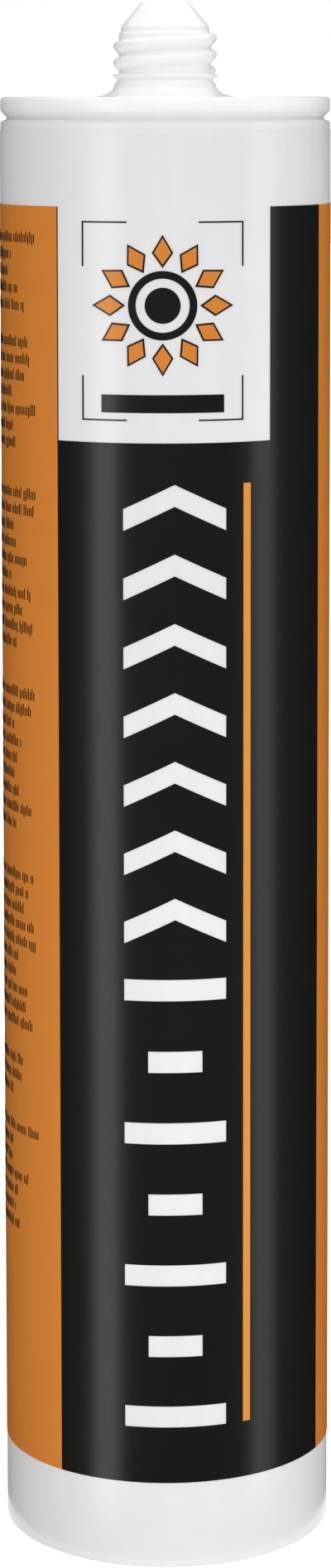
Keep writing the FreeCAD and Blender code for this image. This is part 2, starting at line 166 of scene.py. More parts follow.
class MouldingSizes(bpy.types.PropertyGroup):
    """Sizes of the barrel, the head and the nose, which are one moulding."""

    barrel_radius: place("Barrel radius", BARREL["dims"]["r_mm"] * MM, "Outside of the barrel")
    barrel_wall: length("Barrel wall", 1.55, "Thickness of the barrel's wall")
    shoulder: place("Shoulder", SHOULDER["pos_m"][2], "Height of the flat head")
    base_round: length("Base rounding", 0.3, "Rounding of the edge that it stands on")
    mouth_radius: place("Mouth radius", MOUTH["dims"]["r_mm"] * MM, "Open rear end")
    mouth_depth: place("Mouth depth", MOUTH["dims"]["length_mm"] * MM, "Straight mouth")
    mouth_taper: length("Mouth taper", 1.0, "Height over which the mouth narrows to the bore")
    head_height: length("Head height", 5.0, "From the barrel's top to the shoulder")
    head_inset: length("Head inset", 0.1, "Step in from the barrel to the head")
    lower_rim: length("Lower rim", 1.3, "Height of the rim under the groove")
    groove_depth: length("Groove depth", 0.9, "Depth of the groove round the head")
    groove_rise: length("Groove rise", 0.4, "Height of the groove's lower flank")
    groove_floor: length("Groove floor", 0.35, "Height of the groove's floor")
    groove_round: length("Groove rounding", 0.14, "Rounding of the groove's edges")
    head_thickness: length("Head thickness", 2.6, "Thickness of the flat head")
    slope_height: length("Slope height", 1.8, "Height of the slope inside the head's rim")
    slope_width: length("Slope width", 1.5, "Width of the slope inside the head's rim")
    flare_radius: length("Flare radius", 11.1, "Where the nose's flare meets the shoulder")
    flare_height: length("Flare height", 1.77, "Height of the flare")
    collar_radius: length("Collar radius", 7.6, "Collar above the flare")
    collar_height: length("Collar height", 0.05, "Height of the collar")
    notch_depth: length("Notch depth", 0.55, "Notch between collar and bead")
    notch_height: length("Notch height", 1.3, "Height of that notch")
    bead_radius: length("Bead radius", 7.85, "Bead under the thread")
    bead_height: length("Bead height", 0.15, "Height of the bead")
    bead_fall: length("Bead fall", 0.18, "Height of the slope above the bead")
    root_radius: length("Root radius", 6.87, "Nose between the thread's turns")
    root_top: length("Root top", 9.42, "Top of the threaded stretch above the shoulder")
    neck_step: length("Neck step", 0.3, "Step in above the thread")
    cone_start: length("Cone start", 10.4, "Foot of the cone above the shoulder")
    tip: place("Tip", CARTRIDGE_BOX[1].z, "Height of the closed tip")
    tip_radius: length("Tip radius", 3.43, "Flat end of the tip")
    tip_round: length("Tip rounding", 0.45, "Rounding of the tip's edge")
    tip_wall: length("Tip wall", 1.2, "Thickness of the nose's wall")
    small_round: length("Small rounding", 0.1, "Rounding of the small edges")


class ThreadSizes(bpy.types.PropertyGroup):
    """Sizes of the thread, one start and right-handed."""

    crest_radius: length("Crest radius", 7.74, "Radius over the crests")
    pitch: length("Pitch", 2.45, "Rise in one turn")
    start: length("Start", 3.95, "Height above the shoulder where the crest passes +X first")
    lead_turns: share("Lead turns", 0.06, "Share of a turn that it starts ahead of +X")
    end_turns: share("End turns", 2.13, "Turns after +X at which it ends")
    fade_turns: share("Fade turns", 0.1, "Share of a turn over which each end fades")
    upper_flank: length("Upper flank", 0.68, "Height of the tooth above its crest")
    lower_flank: length("Lower flank", 1.4, "Height of the tooth below its crest")
    upper_power: share("Upper flank's power", 0.85, "Below 1 it bulges; above 1 its foot is hollow")
    lower_power: share("Lower flank's power", 1.4, "Below 1 it bulges; above 1 its foot is hollow")
    row_height: length("Row height", 0.06, "Height of one row of faces on the thread")


class PistonSizes(bpy.types.PropertyGroup):
    """Sizes of the piston."""

    rear: place("Rear", PISTON_BOX[0].z, "Height of the rear lip")
    front: place("Front", PISTON_BOX[1].z, "Height of the crown")
    lip_radius: place("Lip radius", PISTON_BOX[1].x, "Outside of the sealing lips")
    lip_width: length("Lip width", 1.6, "Height of one sealing lip")
    lip_relief: length("Lip relief", 0.45, "Depth of the waist between the lips")
    wall: length("Wall", 1.4, "Thickness of skirt and crown")
    crown_inset: length("Crown inset", 0.35, "The crown is this much smaller than the head's ceiling")
    boss_radius: length("Boss radius", 4.5, "Boss under the crown")
    boss_proud: length("Boss proud", 1.0, "The boss stands this far out past the ribs")
    rib_setback: length("Rib setback", 13.0, "From the rear lip to the ribs")
    rib_shelf: length("Rib shelf", 3.0, "Level part of a rib beside the boss")
    rib_end_height: length("Rib end height", 1.6, "Height of a rib at the skirt")
    rib_thickness: length("Rib thickness", 1.2, "Thickness of a rib")
    rib_count: IntProperty(name="Ribs", description="Ribs round the boss", default=8, min=1)
    rounding: length("Rounding", 0.2, "Rounding of the edges")


class PrintSizes(bpy.types.PropertyGroup):
    """Places of the printed fields, marks and lines."""

    ink: length("Ink", 0.06, "Thickness of a film of ink")
    panel_left: bearing("Panel left", -39.5, "Left side of the black and the white panel")
    panel_right: bearing("Panel right", 37.9, "Right side of the white panel")
    black_right: bearing("Black right", 65.9, "Right side of the black panel")
    panel_height: length("Panel height", 34.0, "Height of the white panel")
    trap_line: length("Trap line", 0.16, "Width of the dark line between orange field and white panel")
    rule_left: bearing("Rule left", 27.15, "Left side of the orange rule")
    rule_right: bearing("Rule right", 29.9, "Right side of the orange rule")
    column_gap: length("Column gap", 5.3, "Gap between the chevrons and the ladder")
    column_centre: length("Column centre", 1.3, "Middle of the marks, to the right of the front")
    mark_width: length("Mark width", 15.0, "Width of the chevrons and the long bars")
    mark_stroke: length("Mark stroke", 3.2, "Height of a bar")
    chevron_rise: length("Chevron rise", 3.6, "Rise of a chevron's point")
    short_width: length("Short bar width", 8.0, "Width of the short bars")
    chevrons: IntProperty(name="Chevrons", description="Chevrons in the column", default=7, min=2)
    bars: IntProperty(name="Bars", description="Bars in the ladder, long and short", default=7, min=2)
    name_left: bearing("Name bar left", -22.0, "Left end of the plain bar")
    name_right: bearing("Name bar right", 20.0, "Right end of the plain bar")
    hub_radius: length("Hub radius", 5.0, "Ring in the middle of the emblem")
    hub_ring: length("Hub ring", 1.1, "Width of that ring")
    hub_dot: length("Hub dot", 2.6, "Radius of the dot inside the ring")
    petal_gap: length("Petal gap", 0.4, "Gap between the ring and the petals")
    petal_belly: length("Petal belly", 7.6, "Radius of a petal's widest place")
    petal_half_width: length("Petal half width", 1.55, "Half of a petal's greatest width")
    petals: IntProperty(name="Petals", description="Petals of the emblem", default=12, min=3)
    petal_line: length("Petal line", 0.3, "Width of the dark line round a petal")
    bracket_line: length("Bracket line", 0.22, "Width of the corner brackets' line")
    bracket_arm: length("Bracket arm", 6.5, "Length of a corner bracket's arm")
    bracket_left: place("Bracket left", -12.1 * MM, "Left side of the corner brackets, from the front")
    text_right: bearing("Small print right", -49.5, "Right end of the longest row of small print")
    text_width: length("Small print width", 38.0, "Width of the column of small print")
    text_pitch: length("Row pitch", 2.5, "From one row of small print to the next")
    text_height: length("Row height", 1.2, "Height of a row of small print")
    tick_width: length("Tick width", 0.22, "Width of one tick of the small print")
    tick_pitch: length("Tick pitch", 0.48, "From one tick to the next")


class FinishColours(bpy.types.PropertyGroup):
    """Colours and gloss of the finishes."""

    shell: colour("Shell", "#E0E0E0", "White polyethylene of the barrel")
    # Painted light: the nose's tone is painted lighter than the shell's, for the light that falls on it
    # from above and comes through its thin wall
    nose: colour("Nose", "#FBFBFB", "The same plastic on the nose, where it is thin and lets light in")
    piston: colour("Piston", "#DADBD9", "Polyethylene of the piston")
    paste: colour("Paste", "#E6E3DB", "Sealant")
    orange: colour("Orange", "#D47F29", "Orange ink")
    pale_orange: colour("Pale orange", "#D98C32", "Orange ink of the rule")
    black: colour("Black", "#171715", "Black ink")
    floor: colour("Floor", "#EDEDED", "Floor under the cartridge")
    card: colour("Card", "#202020", "Dark card round the cartridge")
    shell_roughness: share("Shell roughness", 0.31, "Roughness of the moulded plastic")
    ink_roughness: share("Ink roughness", 0.31, "Roughness of the printed ink")
    ink_gloss: share("Ink gloss", 0.5, "Specular level of the ink")
    shell_gloss: share("Shell gloss", 0.5, "Specular level of the plastic")


class StageSettings(bpy.types.PropertyGroup):
    """Camera and lights."""

    camera_distance: length("Camera distance", 558.95, "From the barrel's axis to the camera")
    camera_tilt: bearing("Camera tilt", 5.71, "How far the camera looks down")
    camera_roll: bearing("Camera roll", -0.08, "Turn about the line of sight")
    focal_length: share("Focal length", 85.34, "Lens in millimetres")
    shift_x: FloatProperty(name="Shift across", description="Share of the frame", default=-0.0001)
    shift_y: FloatProperty(name="Shift up", description="Share of the frame", default=-0.2012)
    ambient: share("Ambient", 0.6, "Light of the surroundings, where 1 is white")
    floor_glow: share("Floor glow", 0.62, "What the floor adds for the camera near the cartridge")
    left_strip: share("Left strip", 1.9, "Level of the lamp that draws the left highlight")
    right_strip: share("Right strip", 1.25, "Level of the lamp that draws the right highlight")
    left_bearing: bearing("Left strip bearing", -30.8, "Where the left strip stands")
    right_bearing: bearing("Right strip bearing", 51.5, "Where the right strip stands")
    strip_width: length("Strip width", 10.0, "Width of the two strips")
    strip_tint: colour("Strip tint", "#FFFDFA", "Colour of the two strips")
    card_radius: length("Card radius", 45.0, "Radius of the dark card round the barrel")
    card_rise: length("Card rise", 20.0, "How far the dark card rises past the tip")
    front_box: share("Front box", 1.85, "Level of the large lamp in front and above")
    right_box: share("Right box", 0.7, "Level of the large lamp on the right")
    top_box: share("Top box", 1.15, "Level of the lamp overhead")
    back_box: share("Back box", 0.9, "Level of the large lamp behind")
    foot_fill: share("Foot fill", 2.9, "Level of the small lamp close to the foot")


class CartridgeSettings(bpy.types.PropertyGroup):
    """All settings of the cartridge."""

    moulding: PointerProperty(type=MouldingSizes)
    thread: PointerProperty(type=ThreadSizes)
    piston: PointerProperty(type=PistonSizes)
    print: PointerProperty(type=PrintSizes)
    finish: PointerProperty(type=FinishColours)
    stage: PointerProperty(type=StageSettings)


def settings():
    """The settings of the current scene."""
    return bpy.context.scene.cartridge_settings


# Surfaces

def make_object(name, surface, body, slot, replaced=()):
    """Make a mesh object from a surface, smooth but for its sharp edges, and seat it on its body.

    The surface is an array of points and a list of arrays of faces.
    """
    points, faces = surface
    mesh = bpy.data.meshes.new(name)
    mesh.from_pydata(points.tolist(), [], [face for group in faces for face in group.tolist()])
    mesh.shade_smooth()
    mesh.set_sharp_from_angle(angle=SHARP_ANGLE)
    mesh.materials.append(finish_of(slot))
    piece = bpy.data.objects.new(name, mesh)
    bpy.context.scene.collection.objects.link(piece)
    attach(piece, body)
    if replaced:
        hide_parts(*replaced)
    return piece


def rounded(corners):
    """Round the corners of an open outline, whose rows hold radius, height and reach.

    A corner C gives way to the curve (1-t)^2 A + 2t(1-t) C + t^2 B, where A and B lie on its two
    edges at the reach from it. A further point on each edge keeps the straight run flat.
    """
    corners = np.asarray(corners, float)
    middle = corners[1:-1, :2]
    before = corners[:-2, :2] - middle
    after = corners[2:, :2] - middle
    before_length = np.linalg.norm(before, axis=1, keepdims=True)
    after_length = np.linalg.norm(after, axis=1, keepdims=True)
    room = ROUND_SHARE * np.minimum(before_length, after_length)
    reach = np.minimum(corners[1:-1, 2:], room)
    to_start = before / before_length * reach
    to_end = after / after_length * reach
    t = np.linspace(0, 1, ROUND_STEPS + 1)[None, :, None]
    curve = middle[:, None] + (1 - t) ** 2 * to_start[:, None] + t ** 2 * to_end[:, None]
    first = (middle + to_start * ROUND_HOLD)[:, None]
    last = (middle + to_end * ROUND_HOLD)[:, None]
    inner = np.concatenate([first, curve, last], axis=1).reshape(-1, 2)
    return np.vstack([corners[:1, :2], inner, corners[-1:, :2]])


def turned_surface(radius, height):
    """Closed surface of rings, from a pole at the first row to a pole at the last one.

    radius and height are grids of rings by columns: a point is (radius cos a, radius sin a, height)
    with a going once round. The first and the last ring lie on the axis and become one point each.
    """
    rings, columns = radius.shape
    around = np.linspace(0, 2 * np.pi, columns, endpoint=False)
    grid = np.stack([radius * np.cos(around), radius * np.sin(around), height], axis=-1)
    points = np.vstack([grid[:1, 0], grid[1:-1].reshape(-1, 3), grid[-1:, 0]])
    index = 1 + np.arange((rings - 2) * columns).reshape(rings - 2, columns)
    following = np.roll(index, -1, axis=1)
    sides = np.stack([index[:-1], index[1:], following[1:], following[:-1]], axis=-1).reshape(-1, 4)
    first_pole = np.zeros(columns, int)
    last_pole = np.full(columns, len(points) - 1)
    first_fan = np.stack([first_pole, index[0], following[0]], axis=-1)
    last_fan = np.stack([last_pole, following[-1], index[-1]], axis=-1)
    return points, [sides, first_fan, last_fan]


def carried_round(outline):
    """Grids of radius and height, rings by columns, that hold the same outline at every column."""
    return (np.repeat(outline[:, :1], RING_COLUMNS, axis=1),
            np.repeat(outline[:, 1:], RING_COLUMNS, axis=1))


def lathe(outline):
    """Turn an outline of radius and height, which starts and ends on the axis, round the axis."""
    return turned_surface(*carried_round(outline))


def smooth_step(value):
    """0 below 0, 1 above 1, and 3v^2 - 2v^3 between."""
    value = np.clip(value, 0, 1)
    return value * value * (3 - 2 * value)


def film(bearings, heights, inner, outer, keep=None, ring=False):
    """Closed films of ink that follow the barrel.

    bearings and heights are grids of copies by rows by columns. A point is (r sin b, -r cos b, h)
    with r the outer radius on the face and the inner radius on the back. keep says which cells of
    the grid hold ink, and each of its borders gets a wall. With ring, the last row joins the first.
    """
    bearings, heights = np.broadcast_arrays(bearings, heights)
    copies, rows, columns = bearings.shape
    radius = np.array([outer, inner]).reshape(2, 1, 1, 1)
    across = radius * np.sin(bearings)
    depth = -radius * np.cos(bearings)
    points = np.stack([across, depth, np.broadcast_to(heights, across.shape)], axis=-1).reshape(-1, 3)

    index = np.arange(2 * copies * rows * columns).reshape(2, copies, rows, columns)
    if ring:
        index = np.concatenate([index, index[:, :, :1]], axis=2)
    low_left, low_right = index[:, :, :-1, :-1], index[:, :, :-1, 1:]
    high_left, high_right = index[:, :, 1:, :-1], index[:, :, 1:, 1:]
    if keep is None:
        keep = np.ones(low_left.shape[2:], bool)
    around = np.pad(keep, ((1, 1), (1, 1)))
    if ring:
        around[0] = around[-2]
        around[-1] = around[1]
    open_below, open_above = keep & ~around[:-2, 1:-1], keep & ~around[2:, 1:-1]
    open_left, open_right = keep & ~around[1:-1, :-2], keep & ~around[1:-1, 2:]

    def faces(where, *corners):
        return np.stack(corners, axis=-1)[:, where].reshape(-1, 4)

    groups = [
        faces(keep, low_left[0], low_right[0], high_right[0], high_left[0]),
        faces(keep, low_left[1], high_left[1], high_right[1], low_right[1]),
        faces(open_below, low_left[1], low_right[1], low_right[0], low_left[0]),
        faces(open_above, high_left[0], high_right[0], high_right[1], high_left[1]),
        faces(open_left, low_left[0], high_left[0], high_left[1], low_left[1]),
        faces(open_right, low_right[0], low_right[1], high_right[1], high_right[0]),
    ]
    used, renumbered = np.unique(np.concatenate(groups), return_inverse=True)
    return points[used], [renumbered.reshape(-1, 4)]


def steps_between(*stops, step):
    """Values that hold every stop, with even steps of about the given size between them."""
    spans = [np.linspace(start, end, max(2, math.ceil(abs(end - start) / step) + 1))[:-1]
             for start, end in zip(stops[:-1], stops[1:])]
    return np.concatenate(spans + [np.array([stops[-1]])])


# Finishes

# Real materials: index of refraction, and the sizes of the patterns as they are drawn
POLYETHYLENE_IOR = 1.54
INK_IOR = 1.5
ACRYLIC_IOR = 1.47
MOULD_GRAIN = 0.35 * MM
MELT_CLOUD = 5 * MM
FLOW_STREAK = 1.8 * MM
SCREEN_MESH = 0.4 * MM
INK_PATCH = 4 * MM
PASTE_LUMP = 3 * MM

# What the patterns do: streaks run along the barrel, the noise counts between a low and a high
# value, thin places take a share of the tone, and roughness and relief change by this much
STREAK_SQUEEZE = (1.0, 1.0, 0.04)
CLOUD_LOW, CLOUD_HIGH = 0.15, 0.38
CLOUD_TONE = 0.978
MOULD_SHEEN = 0.04
MOULD_RELIEF, MOULD_BUMP = 0.35, 0.012 * MM
PATCH_LOW, PATCH_HIGH = 0.3, 0.7
PATCH_TONE = 0.96
INK_SHEEN = 0.03
INK_RELIEF, INK_BUMP = 0.25, 0.006 * MM
# The paste's hollows are painted darker by this share: painted shade that follows its lumps
PASTE_HOLLOW_SHADE = 0.94
PASTE_RELIEF, PASTE_BUMP = 0.6, 0.2 * MM
PASTE_ROUGHNESS = 0.28

# Light that enters: its share, how far it goes, and how far each colour of it goes in comparison
SHELL_TRANSLUCENCE, PISTON_TRANSLUCENCE, PASTE_TRANSLUCENCE = 0.08, 0.12, 0.2
PLASTIC_DEPTH, PASTE_DEPTH = 1.5 * MM, 1 * MM
PLASTIC_SPREAD, PASTE_SPREAD = (1.0, 1.0, 1.0), (1.0, 0.95, 0.9)

# The painted light tone, lighter for the light from above and through the thin nose, takes over
# from this far below the shoulder to this far above, and the piston is duller by this much
PAINTED_LIGHT_BELOW, PAINTED_LIGHT_ABOVE = 6 * MM, 2 * MM
PISTON_DULLNESS = 0.06


def add_node(tree, kind, settings=None, **links):
    """Add a node. Settings go to its attributes or else to its inputs; links join sockets to inputs.

    A linked input is named by its label with underscores for spaces, or by its number after in_.
    """
    node = tree.nodes.new(kind)
    for name, value in (settings or {}).items():
        if isinstance(name, str) and hasattr(node, name):
            setattr(node, name, value)
        else:
            node.inputs[name].default_value = value
    for name, source in links.items():
        key = int(name[3:]) if name.startswith("in_") else name.replace("_", " ")
        tree.links.new(source, node.inputs[key])
    return node


def empty_tree(owner):
    """Switch a material or world to nodes and clear its tree."""
    owner.use_nodes = True
    owner.node_tree.nodes.clear()
    return owner.node_tree


def new_material(name):
    """A new material and its cleared tree."""
    material = bpy.data.materials.new(name)
    return material, empty_tree(material)


def darkened(tone, factor):
    """A linear colour times a factor, with its alpha kept."""
    return tuple(channel * factor for channel in tone[:3]) + (1.0,)


def moulded_plastic(name, tone, painted_light_tone, roughness, gloss, translucence):
    """Moulded polyethylene.

    The mould's fine blast leaves a satin skin. Its grain of about 0.1 mm would be too fine to show,
    so it is drawn at 0.35 mm. The melt leaves weak streaks along the flow and clouds of a few
    millimetres, so broad highlights are a little uneven. Over the shoulder the colour passes to a
    lighter tone: painted light, for the light from above and through the thin nose.
    """
    material, tree = new_material(name)
    here = add_node(tree, "ShaderNodeTexCoord").outputs["Object"]
    along = add_node(tree, "ShaderNodeMapping", {"Scale": STREAK_SQUEEZE}, Vector=here)
    grain = add_node(tree, "ShaderNodeTexNoise", {"Scale": 1 / MOULD_GRAIN, "Detail": 2.0}, Vector=here)
    clouds = add_node(tree, "ShaderNodeTexNoise", {"Scale": 1 / MELT_CLOUD, "Detail": 3.0}, Vector=here)
    streaks = add_node(tree, "ShaderNodeTexNoise", {"Scale": 1 / FLOW_STREAK, "Detail": 2.0},
                       Vector=along.outputs["Vector"])
    uneven = add_node(tree, "ShaderNodeMath", {"operation": "MULTIPLY"},
                      in_0=clouds.outputs["Fac"], in_1=streaks.outputs["Fac"])
    spread = add_node(tree, "ShaderNodeMapRange", {"From Min": CLOUD_LOW, "From Max": CLOUD_HIGH},
                      Value=uneven.outputs["Value"])
    height = add_node(tree, "ShaderNodeSeparateXYZ", Vector=here)
    # Painted light: towards the shoulder and over the nose the tone passes to a lighter one
    shoulder = settings().moulding.shoulder
    above = add_node(tree, "ShaderNodeMapRange",
                     {"interpolation_type": "SMOOTHSTEP", "From Min": shoulder - PAINTED_LIGHT_BELOW,
                      "From Max": shoulder + PAINTED_LIGHT_ABOVE},
                     Value=height.outputs["Z"])
    plain = add_node(tree, "ShaderNodeMix", {"data_type": "RGBA", 6: tone, 7: painted_light_tone},
                     in_0=above.outputs["Result"])
    shade = add_node(tree, "ShaderNodeMapRange", {"To Min": CLOUD_TONE, "To Max": 1.0},
                     Value=spread.outputs["Result"])
    tint = add_node(tree, "ShaderNodeVectorMath", {"operation": "SCALE"},
                    in_0=plain.outputs[2], Scale=shade.outputs["Result"])
    sheen = add_node(tree, "ShaderNodeMapRange",
                     {"To Min": roughness - MOULD_SHEEN, "To Max": roughness + MOULD_SHEEN},
                     Value=clouds.outputs["Fac"])
    relief = add_node(tree, "ShaderNodeBump", {"Strength": MOULD_RELIEF, "Distance": MOULD_BUMP},
                      Height=grain.outputs["Fac"])
    shader = add_node(tree, "ShaderNodeBsdfPrincipled",
                      {"IOR": POLYETHYLENE_IOR, "Specular IOR Level": gloss,
                       "Subsurface Weight": translucence, "Subsurface Radius": PLASTIC_SPREAD,
                       "Subsurface Scale": PLASTIC_DEPTH},
                      Base_Color=tint.outputs["Vector"], Roughness=sheen.outputs["Result"],
                      Normal=relief.outputs["Normal"])
    add_node(tree, "ShaderNodeOutputMaterial", Surface=shader.outputs["BSDF"])
    return material


def printed_ink(name, tone, roughness, gloss):
    """Screen-printed ink on plastic.

    It is dense and even, with slightly thinner patches of a few millimetres, and it dries to a flat
    satin. Its surface keeps a trace of the screen's mesh, whose real 0.1 mm would be too fine to
    show, so it is drawn at 0.4 mm.
    """
    material, tree = new_material(name)
    here = add_node(tree, "ShaderNodeTexCoord").outputs["Object"]
    trace = add_node(tree, "ShaderNodeTexNoise", {"Scale": 1 / SCREEN_MESH, "Detail": 1.0}, Vector=here)
    patches = add_node(tree, "ShaderNodeTexNoise", {"Scale": 1 / INK_PATCH, "Detail": 4.0}, Vector=here)
    cover = add_node(tree, "ShaderNodeMapRange", {"From Min": PATCH_LOW, "From Max": PATCH_HIGH},
                     Value=patches.outputs["Fac"])
    thin = darkened(tone, PATCH_TONE)
    tint = add_node(tree, "ShaderNodeMix", {"data_type": "RGBA", 6: thin, 7: tone},
                    in_0=cover.outputs["Result"])
    sheen = add_node(tree, "ShaderNodeMapRange",
                     {"To Min": roughness - INK_SHEEN, "To Max": roughness + INK_SHEEN},
                     Value=patches.outputs["Fac"])
    relief = add_node(tree, "ShaderNodeBump", {"Strength": INK_RELIEF, "Distance": INK_BUMP},
                      Height=trace.outputs["Fac"])
    shader = add_node(tree, "ShaderNodeBsdfPrincipled", {"IOR": INK_IOR, "Specular IOR Level": gloss},
                      Base_Color=tint.outputs[2], Roughness=sheen.outputs["Result"],
                      Normal=relief.outputs["Normal"])
    add_node(tree, "ShaderNodeOutputMaterial", Surface=shader.outputs["BSDF"])
    return material


def acrylic_paste(name, tone):
    """Acrylic sealant: a wet white paste with soft lumps of about 3 mm and a slight warm tone."""
    material, tree = new_material(name)
    here = add_node(tree, "ShaderNodeTexCoord").outputs["Object"]
    lumps = add_node(tree, "ShaderNodeTexNoise", {"Scale": 1 / PASTE_LUMP, "Detail": 4.0}, Vector=here)
    # Painted shade: the paste is darker where its lumps are low, in their hollows
    hollow = darkened(tone, PASTE_HOLLOW_SHADE)
    tint = add_node(tree, "ShaderNodeMix", {"data_type": "RGBA", 6: hollow, 7: tone},
                    in_0=lumps.outputs["Fac"])
    relief = add_node(tree, "ShaderNodeBump", {"Strength": PASTE_RELIEF, "Distance": PASTE_BUMP},
                      Height=lumps.outputs["Fac"])
    shader = add_node(tree, "ShaderNodeBsdfPrincipled",
                      {"IOR": ACRYLIC_IOR, "Roughness": PASTE_ROUGHNESS,
                       "Subsurface Weight": PASTE_TRANSLUCENCE, "Subsurface Radius": PASTE_SPREAD,
                       "Subsurface Scale": PASTE_DEPTH},
                      Base_Color=tint.outputs[2], Normal=relief.outputs["Normal"])
    add_node(tree, "ShaderNodeOutputMaterial", Surface=shader.outputs["BSDF"])
    return material


# Material for each slot of the record
MATERIAL_NAMES = {
    "white_polyethylene": "moulded_white_polyethylene",
    "piston_polyethylene": "moulded_natural_polyethylene",
    "sealant_paste": "acrylic_sealant",
    "orange_ink": "screen_printed_orange",
    "pale_orange_ink": "screen_printed_pale_orange",
    "black_ink": "screen_printed_black",
}


def finish_of(slot):
    """The material for a slot, made when it is first asked for."""
    name = MATERIAL_NAMES[slot]
    if name in bpy.data.materials:
        return bpy.data.materials[name]
    look = settings().finish
    if slot == "white_polyethylene":
        # The nose's lighter tone is painted light
        return moulded_plastic(name, look.shell, look.nose, look.shell_roughness, look.shell_gloss,
                               SHELL_TRANSLUCENCE)
    if slot == "piston_polyethylene":
        return moulded_plastic(name, look.piston, look.piston, look.shell_roughness + PISTON_DULLNESS,
                               look.shell_gloss, PISTON_TRANSLUCENCE)
    if slot == "sealant_paste":
        return acrylic_paste(name, look.paste)
    tones = {"orange_ink": look.orange, "pale_orange_ink": look.pale_orange, "black_ink": look.black}
    return printed_ink(name, tones[slot], look.ink_roughness, look.ink_gloss)


# Moulding

def nose_and_head_outline(size, thread):
    """Outline of the moulding from the tip's pole down the outside, and the rows of the thread.

    It returns the outline and the number of its rows that lie outside and may carry the thread.
    The flare is a quarter of an ellipse, upright at the collar and level at the shoulder:
    (flare - width sin t, shoulder + height (1 - cos t)), with t falling from a right angle to 0.
    """
    shoulder = size.shoulder
    bore = size.barrel_radius - size.barrel_wall
    rim = size.barrel_radius - size.head_inset
    floor = rim - size.groove_depth
    neck = size.root_radius - size.neck_step
    neck_bore = neck - size.tip_wall
    head_bottom = shoulder - size.head_height
    groove_bottom = head_bottom + size.lower_rim
    floor_bottom = groove_bottom + size.groove_rise
    floor_top = floor_bottom + size.groove_floor
    ceiling = shoulder - size.head_thickness
    root_top = shoulder + size.root_top
    cone_bottom = shoulder + size.cone_start
    flare_top = shoulder + size.flare_height
    notch_bottom = flare_top + size.collar_height
    bead_bottom = notch_bottom + size.notch_height
    bead_top = bead_bottom + size.bead_height
    small = size.small_round
    broad = 2 * small

    zone_top = root_top - ZONE_INSET * small
    zone_bottom = bead_top + ZONE_FOOT * size.bead_fall
    tip_part = rounded([
        (0, size.tip, 0),
        (size.tip_radius, size.tip, size.tip_round),
        (neck, cone_bottom, broad),
        (neck, root_top + size.neck_step, small),
        (size.root_radius, root_top, small),
        (size.root_radius, zone_top, 0),
    ])
    rows = math.ceil((zone_top - zone_bottom) / thread.row_height)
    zone_height = np.linspace(zone_top, zone_bottom, rows)
    fall = np.clip((bead_top + size.bead_fall - zone_height) / size.bead_fall, 0, 1)
    zone_radius = size.root_radius + (size.bead_radius - size.root_radius) * fall
    zone = np.stack([zone_radius, zone_height], axis=-1)[1:-1]
    bead_part = rounded([
        (zone_radius[-1], zone_bottom, 0),
        (size.bead_radius, bead_top, small),
        (size.bead_radius, bead_bottom, small),
        (size.collar_radius - size.notch_depth, notch_bottom + size.notch_height / 2, small),
        (size.collar_radius, notch_bottom, small),
        (size.collar_radius, flare_top, 0),
    ])
    flare_width = size.flare_radius - size.collar_radius
    turn = np.linspace(math.pi / 2, 0, FLARE_ROWS)[1:]
    flare = np.stack([size.flare_radius - flare_width * np.sin(turn),
                      shoulder + size.flare_height * (1 - np.cos(turn))], axis=-1)
    head_part = rounded([
        (*flare[-1], 0),
        (rim, shoulder, 2 * size.base_round),
        (rim, floor_top + size.groove_depth, size.groove_round),
        (floor, floor_top, size.groove_round),
        (floor, floor_bottom, size.groove_round),
        (rim, groove_bottom, size.groove_round),
        (rim, head_bottom + size.head_inset, small),
        (size.barrel_radius, head_bottom, small),
        (size.barrel_radius, 0, size.base_round),
        (size.mouth_radius, 0, small),
        (size.mouth_radius, size.mouth_depth, small),
        (bore, size.mouth_depth + size.mouth_taper, small),
        (bore, ceiling - size.slope_height, small),
        (bore - size.slope_width, ceiling, small),
        (neck_bore, ceiling, small),
        (neck_bore, cone_bottom - size.tip_wall, small),
        (size.tip_radius - size.tip_wall, size.tip - size.tip_wall, small),
        (0, size.tip - size.tip_wall, 0),
    ])
    outline = np.vstack([tip_part, zone, bead_part, flare[:-1], head_part])
    return outline, len(tip_part) + len(zone) + len(bead_part)


def thread_radius(height, around, size, thread):
    """Radius of the threaded nose at a height and an angle round it.

    The crest of the one start runs at start + pitch s, with s the turns since +X. The tooth is the
    root's radius plus the depth times (1 - (d / flank)^2)^power of the distance d from the crest,
    with a longer flank below the crest than above. It fades in height and width at each end.
    """
    turns = around / (2 * np.pi)
    level = (height - size.shoulder - thread.start) / thread.pitch
    along = np.round(level - turns) + turns
    away = (level - along) * thread.pitch
    fade_in = smooth_step((along + thread.lead_turns) / thread.fade_turns)
    fade_out = smooth_step((thread.end_turns - along) / thread.fade_turns)
    fade = fade_in * fade_out
    flank = np.where(away > 0, thread.upper_flank, thread.lower_flank) * (fade + HAIR)
    power = np.where(away > 0, thread.upper_power, thread.lower_power)
    tooth = np.clip(1 - (away / flank) ** 2, 0, 1) ** power
    return size.root_radius + (thread.crest_radius - size.root_radius) * tooth * fade


class CARTRIDGE_OT_make_moulding(bpy.types.Operator):
    """Make the barrel with its open mouth, the grooved head and the closed, threaded nose"""

    bl_idname = "cartridge.make_moulding"
    bl_label = "Moulding"

    def execute(self, context):
        size = settings().moulding
        thread = settings().thread
        outline, outside = nose_and_head_outline(size, thread)
        radius, height = carried_round(outline)
        around = np.linspace(0, 2 * np.pi, RING_COLUMNS, endpoint=False)
        threaded = thread_radius(height[1:outside], around, size, thread)
        below_cone = height[1:outside] < size.shoulder + size.root_top
        radius[1:outside] = np.where(below_cone, np.maximum(radius[1:outside], threaded),
                                     radius[1:outside])
        make_object("cartridge_shell", turned_surface(radius, height), SHELL_BODY, "white_polyethylene",
                    ["cartridge"])
        return {"FINISHED"}


# Piston and contents

